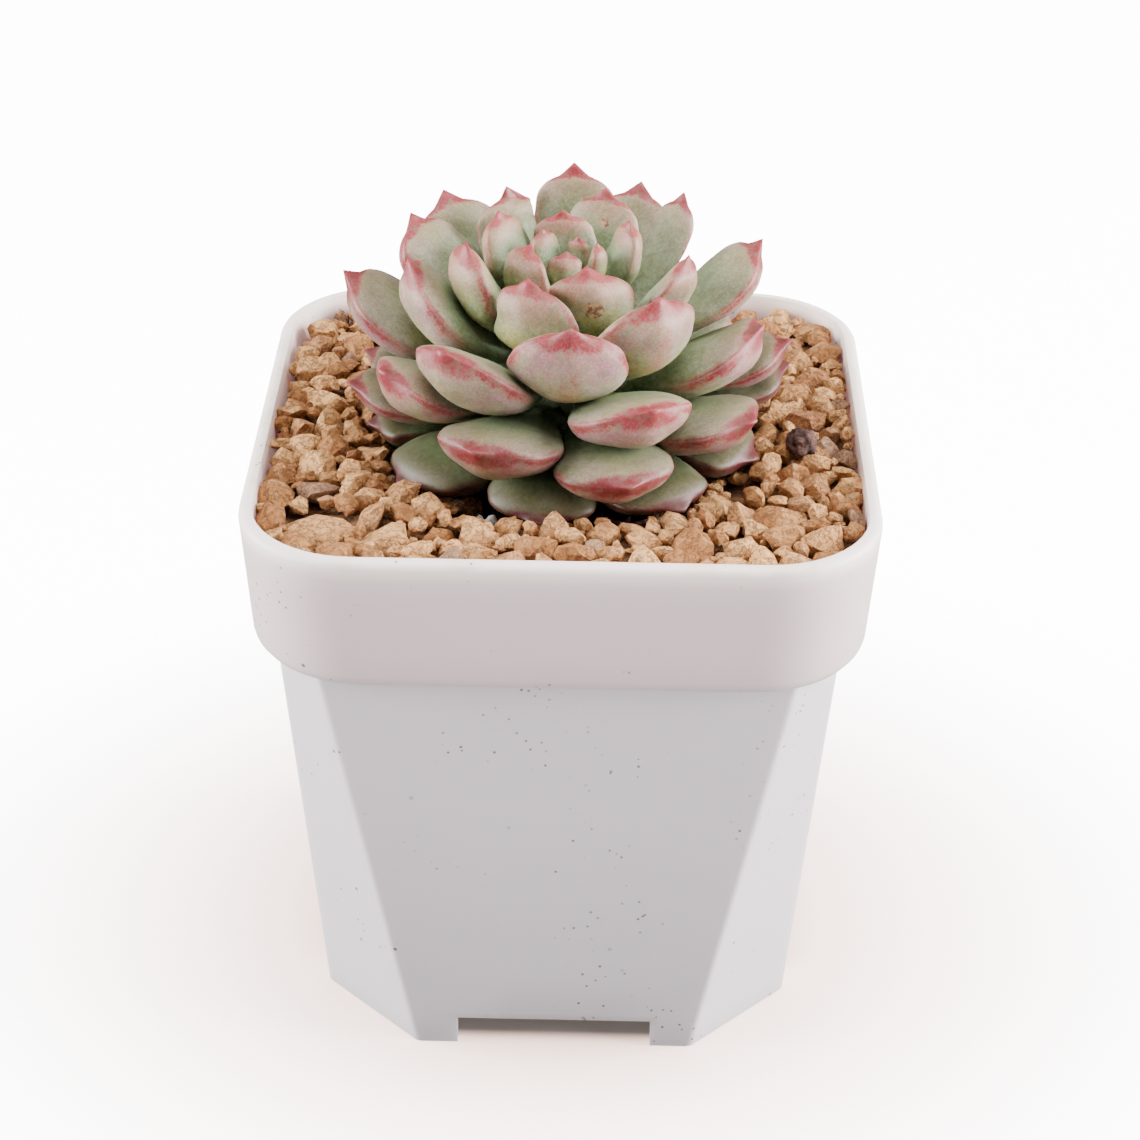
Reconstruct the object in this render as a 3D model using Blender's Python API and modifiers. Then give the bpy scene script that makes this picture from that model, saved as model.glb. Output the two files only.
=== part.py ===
"""Echeveria rosette in a square plastic pot with a gravel top dressing."""
import math
import random

import bmesh
import bpy
from mathutils import Vector
from mathutils.bvhtree import BVHTree

# Pot, metres
POT_WIDTH = 0.070
POT_HEIGHT = 0.0695
WALL = 0.0015
COLLAR_HEIGHT = 0.0165
COLLAR_STEP = 0.0030
COLLAR_TAPER = 0.0011
COLLAR_CORNER = 0.0130
BODY_TAPER = 0.0032
BODY_TOP_CHAMFER = 0.0048
BODY_FOOT_CHAMFER = 0.0115
CHAMFER_SOFTNESS = 0.0018
RIM_ROUND = 0.0006
FLOOR_RISE = 0.0050
SLOT_WIDTH = 0.0228
SLOT_HEIGHT = 0.0038
DRAIN_RADIUS = 0.0030
DRAIN_SPACING = 0.0240

# Fill, metres
GAP = 0.0003
GRAVEL_BELOW_RIM = 0.0025
GRAVEL_DEPTH = 0.0047
GRAVEL_BUMP = 0.0006
GRAVEL_OPENING = 0.0170
GRAVEL_SHOULDER = 0.0255
STEM_RADIUS = 0.0040
STEM_SET_DEPTH = 0.0140

# Rosette, metres
ROSETTE_X = 0.0002
LEAF_WIDTH = 0.0138
LEAF_THICKNESS = 0.0060
LEAF_UPPER_SHARE = 0.36
PRESS_GAP = 0.0005
PRESS_PASSES = 80
SETTLE_PASSES = 36
GROWTH_START = 0.15
RING_SHARE = 0.7
PRESS_EASE = 0.3
PRESS_STEP = 0.0003
DENT_LIMIT = 0.22
SLIM_STEP = 0.01
SLIM_LIMIT = 150
CROWDED_PUSH = 0.00026
LEAF_AROUND = 10

# Leaf outline from stem to tip: distance along, width share, thickness share
LEAF_STATIONS = (
    (0.00, 0.00, 0.00),
    (0.02, 0.24, 0.28),
    (0.18, 0.38, 0.44),
    (0.38, 0.68, 0.76),
    (0.58, 0.95, 0.98),
    (0.74, 1.00, 1.00),
    (0.88, 0.78, 0.76),
    (0.96, 0.34, 0.34),
    (1.00, 0.00, 0.00),
)

# Rows from the soil up to the bud. Millimetres, heights above the gravel.
# Each row: height where it leaves the stem, sag below a straight line, width
# share, thickness share, then its leaves as (turn in degrees, reach, tip height)
# and, where a leaf is narrower than its row, its own width share.
LEAF_ROWS = (
    (1.6, -1.2, 0.98, 0.98, (
        (20, 23.0, 1.6), (64, 23.0, 1.0), (108, 23.0, 1.0), (150, 23.0, 1.0),
        (184, 22.4, 2.0), (217, 22.8, 0.6), (263, 21.5, -0.2),
        (304, 23.2, 1.2), (338, 23.0, 2.0))),
    (4.6, 0.2, 1.02, 1.04, (
        (12, 25.8, 7.0), (46, 24.5, 6.5), (86, 24.0, 6.0), (128, 24.0, 6.0),
        (162, 24.5, 6.5), (189, 24.6, 8.0), (247, 24.2, 9.2),
        (287, 24.6, 6.0), (328, 24.4, 8.8))),
    (7.4, 1.4, 1.00, 1.04, (
        (1, 25.0, 12.2, 0.86), (44, 23.5, 10.6), (96, 23.0, 12.5), (140, 23.5, 12.5),
        (174, 25.2, 18.6), (210, 23.2, 13.4),
        (233, 21.8, 18.6), (295, 22.8, 13.8), (346, 22.2, 16.6))),
    (10.0, 2.0, 1.00, 1.00, (
        (30, 24.0, 19.0, 0.84), (12, 22.0, 22.4), (46, 18.6, 24.4, 0.84), (66, 20.0, 23.4),
        (134, 21.0, 23.2), (158, 19.2, 23.6),
        (190, 17.8, 22.8), (272, 18.6, 22.0), (306, 16.8, 23.4))),
    (12.6, 1.8, 0.84, 0.86, (
        (89, 15.2, 26.8, 1.25), (121, 14.0, 25.2), (70, 11.5, 25.6), (340, 14.0, 24.6),
        (202, 12.0, 25.4), (247, 10.5, 23.6), (284, 8.6, 24.4))),
    (14.8, 1.2, 0.60, 0.70, (
        (150, 9.2, 25.4), (97, 6.2, 25.0), (22, 7.2, 25.4), (212, 5.0, 24.6))),
    (17.0, 0.5, 0.34, 0.48, (
        (140, 3.8, 24.4), (352, 3.2, 24.2), (60, 2.2, 23.8), (265, 1.8, 23.6))),
)
STEM_PROFILE = (
    (-14.0, 0.80), (-6.0, 0.95), (0.0, 1.00), (5.0, 0.94), (8.5, 0.80),
    (11.5, 0.62), (14.0, 0.44), (16.0, 0.26),
)
MM = 0.001

RIM_Z = POT_HEIGHT
COLLAR_Z = POT_HEIGHT - COLLAR_HEIGHT
GRAVEL_Z = POT_HEIGHT - GRAVEL_BELOW_RIM
SOIL_Z = GRAVEL_Z - GRAVEL_DEPTH
HALF = POT_WIDTH / 2
COLLAR_HALF = HALF - COLLAR_TAPER
BODY_HALF = COLLAR_HALF - COLLAR_STEP
FOOT_HALF = BODY_HALF - BODY_TAPER
CORNER_STEPS = 6


def clear_scene():
    for item in list(bpy.data.objects):
        bpy.data.objects.remove(item, do_unlink=True)


def new_collection(name):
    group = bpy.data.collections.new(name)
    bpy.context.scene.collection.children.link(group)
    return group


def new_material(name, colour, roughness):
    mat = bpy.data.materials.new(name)
    mat.use_nodes = True
    shader = mat.node_tree.nodes["Principled BSDF"]
    shader.inputs["Base Color"].default_value = (*colour, 1.0)
    shader.inputs["Roughness"].default_value = roughness
    shader.inputs["Metallic"].default_value = 0.0
    return mat


def mesh_object(name, bm, group, mat=None, smooth=True):
    """Turn a bmesh into an object with outward faces."""
    bmesh.ops.recalc_face_normals(bm, faces=bm.faces[:])
    mesh = bpy.data.meshes.new(name)
    bm.to_mesh(mesh)
    bm.free()
    for face in mesh.polygons:
        face.use_smooth = smooth
    if mat is not None:
        mesh.materials.append(mat)
    item = bpy.data.objects.new(name, mesh)
    group.objects.link(item)
    return item


def wrapped_grid(around, along, place):
    """A sheet bent into a tube: place(i, j) gives each point, seams merge."""
    bm = bmesh.new()
    bmesh.ops.create_grid(bm, x_segments=around, y_segments=along, size=1.0)
    for vert in bm.verts:
        i = round((vert.co.x + 1) / 2 * around) % around
        j = round((vert.co.y + 1) / 2 * along)
        vert.co = place(i, j)
    bmesh.ops.remove_doubles(bm, verts=bm.verts[:], dist=1e-6)
    return bm


def apply_modifier(item, kind, **settings):
    mod = item.modifiers.new(kind.title(), kind)
    for key, value in settings.items():
        setattr(mod, key, value)
    bpy.context.view_layer.objects.active = item
    bpy.ops.object.modifier_apply(modifier=mod.name)


def cut(item, tool, operation="DIFFERENCE"):
    apply_modifier(item, "BOOLEAN", object=tool, operation=operation, solver="EXACT")


def corner_point(half, size, chamfer, step):
    """One point of the corner at +X +Y; chamfer 1 is a soft flat, 0 an arc."""
    share = step / CORNER_STEPS
    turn = share * math.pi / 2
    centre = half - size
    arc = Vector((centre + size * math.cos(turn), centre + size * math.sin(turn)))
    soft = CHAMFER_SOFTNESS / size
    along = (0.0, soft * 0.4, soft, 0.5, 1 - soft, 1 - soft * 0.4, 1.0)[step]
    inset = (0.0, 0.12, 0.0, 0.0, 0.0, 0.12, 0.0)[step] * CHAMFER_SOFTNESS
    flat = Vector((half - size * along + inset * 0.5, centre + size * along + inset * 0.5))
    return arc.lerp(flat, chamfer)


def outline(half, size, chamfer, index):
    """Point of the rounded square, counted anticlockwise from the +X face."""
    quarter, step = divmod(index, CORNER_STEPS + 1)
    point = corner_point(half, size, chamfer, step)
    for _ in range(quarter):
        point = Vector((-point.y, point.x))
    return point


OUTLINE_COUNT = 4 * (CORNER_STEPS + 1)


def pot_section(height):
    """Half width, corner size and corner flatness of the pot's outside."""
    share = max(0.0, min(1.0, height / COLLAR_Z))
    if height < COLLAR_Z:
        half = FOOT_HALF + (BODY_HALF - FOOT_HALF) * share
        size = BODY_FOOT_CHAMFER + (BODY_TOP_CHAMFER - BODY_FOOT_CHAMFER) * share
        return half, size, 1.0
    rise = (height - COLLAR_Z) / COLLAR_HEIGHT
    return COLLAR_HALF + COLLAR_TAPER * rise, COLLAR_CORNER, 0.0


def loft_sections(sections):
    """Open skin through (height, half width, corner, flatness) sections."""
    def place(i, j):
        height, half, size, chamfer = sections[j]
        point = outline(half, size, chamfer, i)
        return Vector((point.x, point.y, height))
    return wrapped_grid(OUTLINE_COUNT, len(sections) - 1, place)


def box_tool(name, group, size, centre):
    bm = bmesh.new()
    bmesh.ops.create_cube(bm, size=1.0)
    bmesh.ops.scale(bm, vec=size, verts=bm.verts[:])
    bmesh.ops.translate(bm, vec=centre, verts=bm.verts[:])
    return mesh_object(name, bm, group, smooth=False)


def build_pot(group, tools, mat):
    below = pot_section(COLLAR_Z - 1e-9)
    collar = pot_section(COLLAR_Z)
    sections = [(0.0, *pot_section(0.0)), (FLOOR_RISE + WALL, *pot_section(FLOOR_RISE + WALL)),
                (COLLAR_Z * 0.5, *pot_section(COLLAR_Z * 0.5)), (COLLAR_Z, *below),
                (COLLAR_Z, collar[0] - 0.0009, collar[1], 0.0),
                (COLLAR_Z + 0.0003, collar[0] - 0.0002, collar[1], 0.0),
                (COLLAR_Z + 0.0012, *pot_section(COLLAR_Z + 0.0012)),
                (RIM_Z - 0.0040, *pot_section(RIM_Z - 0.0040)),
                (RIM_Z, *pot_section(RIM_Z))]
    pot = mesh_object("pot", loft_sections(sections), group, mat)
    apply_modifier(pot, "SOLIDIFY", thickness=WALL, offset=-1.0, use_even_offset=True)
    bm = bmesh.new()
    bm.from_mesh(pot.data)
    for vert in bm.verts:
        for level in (0.0, RIM_Z):
            if abs(vert.co.z - level) < WALL * 0.25:
                vert.co.z = level
    rim = [edge for edge in bm.edges
           if min(v.co.z for v in edge.verts) > RIM_Z - 0.0001 and len(edge.link_faces) == 2
           and edge.calc_face_angle(0.0) > 1.0]
    bmesh.ops.bevel(bm, geom=rim, offset=RIM_ROUND, segments=2, profile=0.5,
                    affect="EDGES", material=-1)
    bm.to_mesh(pot.data)
    bm.free()
    plate = [(FLOOR_RISE, *pot_section(FLOOR_RISE)), (FLOOR_RISE + WALL, *pot_section(FLOOR_RISE + WALL))]
    plate = [(z, half - WALL * 0.5, size, chamfer) for z, half, size, chamfer in plate]
    bm = loft_sections(plate)
    bmesh.ops.holes_fill(bm, edges=[e for e in bm.edges if e.is_boundary], sides=0)
    floor = mesh_object("floor_plate", bm, tools)
    cut(pot, floor, "UNION")
    for along_x in (True, False):
        size = (SLOT_WIDTH, POT_WIDTH, SLOT_HEIGHT * 2)
        if not along_x:
            size = (POT_WIDTH, SLOT_WIDTH, SLOT_HEIGHT * 2)
        cut(pot, box_tool("slot_cutter", tools, size, (0, 0, 0)))
    for turn in range(4):
        bm = bmesh.new()
        bmesh.ops.create_cone(bm, cap_ends=True, segments=12, radius1=DRAIN_RADIUS,
                              radius2=DRAIN_RADIUS, depth=0.01)
        angle = math.radians(45 + 90 * turn)
        spot = (DRAIN_SPACING / 2 * math.cos(angle), DRAIN_SPACING / 2 * math.sin(angle), FLOOR_RISE)
        bmesh.ops.translate(bm, vec=spot, verts=bm.verts[:])
        cut(pot, mesh_object("drain_cutter", bm, tools, smooth=False))
    return pot


def inner_section(height, clearance):
    half, size, chamfer = pot_section(height)
    inset = WALL + clearance
    return half - inset, max(size - inset * (1 - 0.41 * chamfer), 0.002), chamfer


def build_soil(group, mat):
    """Filled plug with a pocket for the stem."""
    bottom = FLOOR_RISE + WALL + GAP
    ledge = COLLAR_Z + WALL + GAP
    pocket = STEM_RADIUS + GAP * 2
    pocket_z = GRAVEL_Z - STEM_SET_DEPTH - GAP * 2
    walls = [(bottom, *inner_section(bottom, GAP * 1.6)),
             (ledge, *inner_section(COLLAR_Z - 1e-9, GAP * 1.6)),
             (ledge, *inner_section(ledge, GAP * 1.6)),
             (SOIL_Z, *inner_section(SOIL_Z, GAP * 1.6))]

    def place(i, j):
        if j == 0:
            return Vector((0, 0, bottom))
        if j <= 4:
            height, half, size, chamfer = walls[j - 1]
            point = outline(half, size, chamfer, i)
            return Vector((point.x, point.y, height))
        turn = math.pi / 4 + 2 * math.pi * (i - CORNER_STEPS / 2) / OUTLINE_COUNT
        point = Vector((ROSETTE_X + pocket * math.cos(turn), pocket * math.sin(turn)))
        if j == 5:
            return Vector((point.x, point.y, SOIL_Z))
        if j == 6:
            return Vector((point.x, point.y, pocket_z))
        return Vector((ROSETTE_X, 0, pocket_z))
    return mesh_object("potting_soil", wrapped_grid(OUTLINE_COUNT, 7, place), group, mat)


def gravel_height(x, y):
    """Smooth height of the dressing, sloping down under the rosette."""
    radius = math.hypot(x - ROSETTE_X, y)
    share = (radius - GRAVEL_OPENING) / (GRAVEL_SHOULDER - GRAVEL_OPENING)
    share = max(0.0, min(1.0, share))
    share = math.sin(share * math.pi / 2)
    low = SOIL_Z + GAP + 0.0012
    return low + (GRAVEL_Z - low) * share


def even_outline(section, count):
    """The rounded square at evenly spaced points."""
    corners = [outline(*section, i) for i in range(OUTLINE_COUNT)]
    corners.append(corners[0])
    spans = [(after - here).length for here, after in zip(corners, corners[1:])]
    step = sum(spans) / count
    points = []
    travelled = 0.0
    for here, after, span in zip(corners, corners[1:], spans):
        while len(points) < count and len(points) * step <= travelled + span:
            points.append(here.lerp(after, (len(points) * step - travelled) / span))
        travelled += span
    return points


def build_gravel(group, mat):
    """Ring of dressing with a lumpy top."""
    rng = random.Random(12)
    around = 64
    rings = 7
    edges = even_outline(inner_section(SOIL_Z, GAP * 1.6), around)

    def place(i, j):
        edge = edges[i]
        hole = (edge - Vector((ROSETTE_X, 0))).normalized() * GRAVEL_OPENING
        hole = hole + Vector((ROSETTE_X, 0))
        if j in (0, rings + 2):
            return Vector((edge.x, edge.y, SOIL_Z + GAP))
        if j == rings + 1:
            return Vector((hole.x, hole.y, SOIL_Z + GAP))
        share = (j - 1) / (rings - 1)
        point = edge.lerp(hole, share)
        if 0.0 < share < 1.0:
            point += Vector((rng.uniform(-1, 1), rng.uniform(-1, 1))) * GRAVEL_BUMP
        lump = rng.uniform(-1, 1) * GRAVEL_BUMP
        return Vector((point.x, point.y, gravel_height(point.x, point.y) + lump))
    spots = {(i, j): place(i, j) for j in range(rings + 2) for i in range(around)}
    bm = wrapped_grid(around, rings + 2, lambda i, j: spots[i, j % (rings + 2)])
    return mesh_object("gravel_top", bm, group, mat, smooth=False)


def stem_radius(height):
    """Stem radius at a height above the gravel, by straight lines."""
    level = height / MM
    for (low, share_low), (high, share_high) in zip(STEM_PROFILE, STEM_PROFILE[1:]):
        if level <= high:
            mix = max(0.0, (level - low) / (high - low))
            return STEM_RADIUS * (share_low + (share_high - share_low) * mix)
    return 0.0


def build_stem(group, mat):
    last = len(STEM_PROFILE) + 1

    def place(i, j):
        level, share = STEM_PROFILE[min(max(j - 1, 0), last - 2)]
        if j in (0, last):
            share = 0.0
        turn = 2 * math.pi * i / 14
        radius = STEM_RADIUS * share
        return Vector((ROSETTE_X + radius * math.cos(turn), radius * math.sin(turn),
                       GRAVEL_Z + level * MM))
    return mesh_object("stem", wrapped_grid(14, last, place), group, mat)


class Leaf:
    """One leaf as rings of points from the stem to the tip."""

    def __init__(self, row, turn, reach, tip, share=1.0):
        start, sag, width, thickness, _ = row
        self.turn = math.radians(turn)
        self.width = LEAF_WIDTH * width * share
        self.thickness = LEAF_THICKNESS * thickness
        root = stem_radius(start * MM) + GAP * 2
        self.root = Vector((root, GRAVEL_Z + start * MM))
        self.tip = Vector((reach * MM, GRAVEL_Z + tip * MM))
        straight = self.tip - self.root
        down = Vector((straight.y, -straight.x)).normalized()
        self.bend = (self.root + self.tip) / 2 + down * sag * MM * 2
        self.growth = 1.0
        self.crowded = False
        self.bm = wrapped_grid(LEAF_AROUND, len(LEAF_STATIONS) - 1, self.place)
        bmesh.ops.recalc_face_normals(self.bm, faces=self.bm.faces[:])
        spots = {}
        for j in range(len(LEAF_STATIONS)):
            for i in range(LEAF_AROUND):
                spots[tuple(round(c * 1e7) for c in self.place(i, j))] = (i, j)
        self.spots = [spots[tuple(round(c * 1e7) for c in vert.co)] for vert in self.bm.verts]
        self.rings = [[k for k, spot in enumerate(self.spots) if spot[1] == j]
                      for j in range(len(LEAF_STATIONS))]
        self.bm.verts.index_update()
        self.faces = [[vert.index for vert in face.verts] for face in self.bm.faces]
        self.near = [[edge.other_vert(vert).index for edge in vert.link_edges]
                     for vert in self.bm.verts]
        self.shifts = [Vector() for _ in self.spots]
        self.points = []
        self.grow(GROWTH_START)

    def place(self, i, j):
        along, width, thickness = LEAF_STATIONS[j]
        angle = 2 * math.pi * i / LEAF_AROUND
        rest = 1 - along
        spine = self.root * rest * rest + self.bend * 2 * rest * along + self.tip * along * along
        run = (self.bend - self.root) * rest + (self.tip - self.bend) * along
        up = Vector((-run.y, run.x)).normalized()
        side = math.cos(angle) * self.width * width / 2
        depth = math.sin(angle) * self.thickness * thickness
        depth *= LEAF_UPPER_SHARE if depth > 0 else 1 - LEAF_UPPER_SHARE
        spine = spine + up * depth * self.growth
        out = Vector((math.cos(self.turn), math.sin(self.turn)))
        across = Vector((-out.y, out.x))
        flat = out * spine.x + across * side * self.growth
        return Vector((flat.x + ROSETTE_X, flat.y, spine.y))

    def grow(self, growth):
        """Swell the free shape and carry the pressed shifts over."""
        self.growth = growth
        self.points = [settle(self.place(*spot) + shift)
                       for spot, shift in zip(self.spots, self.shifts)]

    def tree(self):
        return BVHTree.FromPolygons(self.points, self.faces)

    def bounds(self):
        low = [min(p[k] for p in self.points) - PRESS_GAP for k in range(3)]
        high = [max(p[k] for p in self.points) + PRESS_GAP for k in range(3)]
        return low, high

    def yield_to(self, pushes):
        """Move whole rings with the mean push and dent the rest locally."""
        self.crowded = max(push.length for push in pushes) > CROWDED_PUSH
        for j, ring in enumerate(self.rings):
            mean = sum((pushes[k] for k in ring), Vector()) / len(ring)
            for k in ring:
                self.shifts[k] += mean * RING_SHARE + pushes[k]
            mean = sum((self.shifts[k] for k in ring), Vector()) / len(ring)
            deepest = self.thickness * LEAF_STATIONS[j][2] * DENT_LIMIT
            for k in ring:
                dent = self.shifts[k] - mean
                if dent.length > deepest:
                    self.shifts[k] = mean + dent * (deepest / dent.length)

    def slim(self, share):
        """Draw every ring a little towards its own middle."""
        for ring in self.rings:
            middle = sum((self.points[k] for k in ring), Vector()) / len(ring)
            for k in ring:
                self.points[k] = self.points[k].lerp(middle, share)

    def relax(self, ease):
        """Spread the shifts over neighbouring points."""
        means = [sum((self.shifts[k] for k in near), Vector()) / len(near) for near in self.near]
        self.shifts = [own.lerp(mean, ease) for own, mean in zip(self.shifts, means)]


def push_from(tree, point):
    """How far and which way a point must move to clear a pressed leaf."""
    spot, normal, _, distance = tree.find_nearest(point)
    gap = point - spot
    outside = gap.dot(normal) > 0
    if outside and distance >= PRESS_GAP:
        return Vector()
    way = normal if distance < 1e-6 else gap / distance * (1 if outside else -1)
    depth = PRESS_GAP - (distance if outside else -distance)
    return way * min(depth / 2, PRESS_STEP)


def settle(point):
    """Keep a leaf point off the stem and off the dressing."""
    flat = Vector((point.x - ROSETTE_X, point.y))
    clear = stem_radius(point.z - GRAVEL_Z) + GAP
    if 1e-9 < flat.length < clear and point.z - GRAVEL_Z < STEM_PROFILE[-1][0] * MM:
        flat = flat.normalized() * clear
    floor = gravel_height(point.x, point.y) + GRAVEL_BUMP + GAP * 2
    return Vector((flat.x + ROSETTE_X, flat.y, max(point.z, floor)))


def press_once(leaves):
    """Each leaf yields half of the way wherever another comes too near."""
    trees = [leaf.tree() for leaf in leaves]
    boxes = [leaf.bounds() for leaf in leaves]
    moves = []
    for leaf, (low, high) in zip(leaves, boxes):
        pushes = [Vector() for _ in leaf.points]
        for other, tree, (olow, ohigh) in zip(leaves, trees, boxes):
            apart = any(low[k] > ohigh[k] or high[k] < olow[k] for k in range(3))
            if other is leaf or apart:
                continue
            for index, point in enumerate(leaf.points):
                if all(olow[k] < point[k] < ohigh[k] for k in range(3)):
                    push = push_from(tree, point)
                    if push.length > pushes[index].length:
                        pushes[index] = push
        moves.append(pushes)
    for leaf, pushes in zip(leaves, moves):
        leaf.yield_to(pushes)


def crossing(leaves):
    """Leaves whose skins still cut another leaf's skin."""
    trees = [leaf.tree() for leaf in leaves]
    found = set()
    for first in range(len(leaves)):
        for second in range(first + 1, len(leaves)):
            if trees[first].overlap(trees[second]):
                found.update((first, second))
    return [leaves[index] for index in sorted(found)]


def press_leaves(leaves):
    """Swell all leaves together and let neighbours flatten one another."""
    for _ in range(PRESS_PASSES):
        press_once(leaves)
        for leaf in leaves:
            leaf.relax(PRESS_EASE)
            leaf.grow(leaf.growth + (1 - GROWTH_START) / PRESS_PASSES)
    for _ in range(SETTLE_PASSES):
        press_once(leaves)
        for leaf in leaves:
            leaf.grow(leaf.growth * (1 - SLIM_STEP * leaf.crowded))
    for _ in range(SLIM_LIMIT):
        tight = crossing(leaves)
        if not tight:
            break
        for leaf in tight:
            leaf.slim(SLIM_STEP)


def build_leaves(group, mat):
    leaves = [Leaf(row, *leaf) for row in LEAF_ROWS for leaf in row[4]]
    press_leaves(leaves)
    for number, leaf in enumerate(leaves, start=1):
        for vert, point in zip(leaf.bm.verts, leaf.points):
            vert.co = point
        mesh_object(f"leaf_{number:02d}", leaf.bm, group, mat)


def build_bark(group, mat):
    """A flake of bark lying on the dressing."""
    rng = random.Random(5)
    bm = bmesh.new()
    bmesh.ops.create_icosphere(bm, subdivisions=2, radius=1.0)
    for vert in bm.verts:
        rough = 1 + rng.uniform(-0.18, 0.18)
        vert.co = Vector((vert.co.x * 0.0019, vert.co.y * 0.0030, vert.co.z * 0.0013)) * rough
    centre = Vector((HALF * 0.77, -HALF * 0.16, 0))
    centre.z = GRAVEL_Z + GRAVEL_BUMP + GAP + 0.0016
    bmesh.ops.translate(bm, vec=centre, verts=bm.verts[:])
    return mesh_object("bark_chip", bm, group, mat, smooth=False)


def main():
    clear_scene()
    tools = new_collection("cutters")
    groups = {}
    for name in ("pot", "fill", "plant"):
        groups[name] = new_collection(name)
    plastic = new_material("white_plastic", (0.86, 0.84, 0.84), 0.38)
    soil = new_material("soil", (0.035, 0.027, 0.022), 0.95)
    clay = new_material("gravel", (0.56, 0.37, 0.20), 0.9)
    bark = new_material("bark", (0.07, 0.045, 0.035), 0.9)
    woody = new_material("stem", (0.30, 0.24, 0.16), 0.7)
    skin = new_material("leaf_skin", (0.52, 0.60, 0.47), 0.55)
    build_pot(groups["pot"], tools, plastic)
    build_soil(groups["fill"], soil)
    build_gravel(groups["fill"], clay)
    build_bark(groups["fill"], bark)
    build_stem(groups["plant"], woody)
    build_leaves(groups["plant"], skin)
    for tool in tools.objects:
        tool.hide_render = True
        tool.display_type = "WIRE"


main()
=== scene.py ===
import math
import random

import bmesh
import bpy
import numpy as np
from bpy.props import FloatProperty, FloatVectorProperty, IntProperty, PointerProperty
from bpy.types import Operator, Panel, PropertyGroup
from mathutils import Matrix, Vector, noise
from mathutils.bvhtree import BVHTree


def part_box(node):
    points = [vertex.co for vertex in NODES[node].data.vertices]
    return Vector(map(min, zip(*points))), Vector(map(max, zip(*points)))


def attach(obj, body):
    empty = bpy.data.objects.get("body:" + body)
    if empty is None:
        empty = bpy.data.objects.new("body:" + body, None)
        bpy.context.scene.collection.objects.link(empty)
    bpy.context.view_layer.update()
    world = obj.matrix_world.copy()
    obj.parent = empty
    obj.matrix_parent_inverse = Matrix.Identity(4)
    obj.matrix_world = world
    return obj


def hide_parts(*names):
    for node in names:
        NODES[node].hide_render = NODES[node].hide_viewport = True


bl_info = {
    "name": "Potted Succulent",
    "version": (1, 0, 0),
    "blender": (4, 5, 0),
    "location": "View3D > Sidebar > Succulent",
    "description": "Rosette succulent in a square pot dressed with grit",
    "category": "Object",
}

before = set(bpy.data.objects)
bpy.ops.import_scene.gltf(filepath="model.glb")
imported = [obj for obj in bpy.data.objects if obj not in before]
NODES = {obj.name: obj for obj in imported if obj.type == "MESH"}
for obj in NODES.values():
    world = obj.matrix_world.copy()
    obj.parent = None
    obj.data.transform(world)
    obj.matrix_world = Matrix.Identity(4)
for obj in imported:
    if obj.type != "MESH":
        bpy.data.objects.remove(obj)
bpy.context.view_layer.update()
LEAF_NAMES = sorted(name for name in NODES if name.startswith("leaf_"))

RIM_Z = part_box("pot")[1].z
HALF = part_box("pot")[1].x
SOIL_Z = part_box("potting_soil")[1].z
ROSETTE_X = 0.0002

# Pot, metres, measured down from the rim and in from the rim's face
WALL = 0.0015
COLLAR_Z = RIM_Z - 0.0165
COLLAR_HALF = HALF - 0.0011
BODY_HALF = COLLAR_HALF - 0.0030
FOOT_HALF = BODY_HALF - 0.0032
FOOT_CHAMFER = 0.0115
TOP_CHAMFER = 0.0048
COLLAR_CORNER = 0.0130
CORNER_STEPS = 14
CHAMFER_ROUND = 0.0014
COLLAR_ROUND = 0.0019
LIP_ROUND = 0.0009
FLOOR_RISE = 0.0050
SLOT_HALF = 0.0114
SLOT_HEIGHT = 0.0038
DRAIN_REACH = 0.0120
DRAIN_RADIUS = 0.0030

# Where a leaf's rings lie between stem and tip
STATIONS = np.array((0.0, 0.02, 0.18, 0.38, 0.58, 0.74, 0.88, 0.96, 1.0))
LEAF_COLUMNS = 40
LEAF_ROWS = 44

# Grit, metres: clear circle round the stem, gap under the rim, side of a search cell
STEM_CLEAR = 0.0165
RIM_GAP = 0.0002
CELL = 0.004

# The largest grains, laid first: x, y, radius
BIG_GRAINS = ((-0.0262, -0.0235, 0.0040), (0.0240, -0.0205, 0.0030), (-0.0185, -0.0265, 0.0027),
              (0.0145, -0.0270, 0.0029), (0.0285, -0.0130, 0.0024), (-0.0275, -0.0105, 0.0026),
              (0.0265, 0.0100, 0.0024), (-0.0280, 0.0060, 0.0026), (-0.0250, 0.0200, 0.0023))

# Pale specks on the dark mix: x, y, radius
PALE_FLECKS = ((-0.0078, -0.0178, 0.0008), (-0.0066, -0.0186, 0.0005), (-0.0090, -0.0170, 0.0004),
               (0.0110, -0.0178, 0.0004), (0.0150, 0.0120, 0.0006))

# The dried shoot: where it stands, then each twig's heading in degrees and its length
SHOOT_SPOT = (0.0072, -0.0176)
TWIGS = ((10, 0.0035), (150, 0.0028), (235, 0.0030), (300, 0.0032), (80, 0.0024))

# Camera: place, then turn, lean and roll in degrees, and focal length in millimetres
CAMERA_SPOT = (0.00425, -0.29395, 0.22053)
CAMERA_TURN = 0.66
CAMERA_LEAN = 59.73
CAMERA_ROLL = 0.79
CAMERA_LENS = 90.758

# Where the dark mix shows through the dressing: x, y, radius
BARE_PATCHES = ((-0.0080, -0.0180, 0.0030), (0.0068, -0.0178, 0.0038), (0.0200, -0.0130, 0.0022))

# Tan scars: leaf, share along, share round the blade, size
SCARS = {
    "leaf_39": (0.80, 0.27, 0.06),
    "leaf_43": (0.76, 0.74, 0.09),
    "leaf_40": (0.72, 0.45, 0.05),
}


# ---------------------------------------------------------------- shader maths

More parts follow.
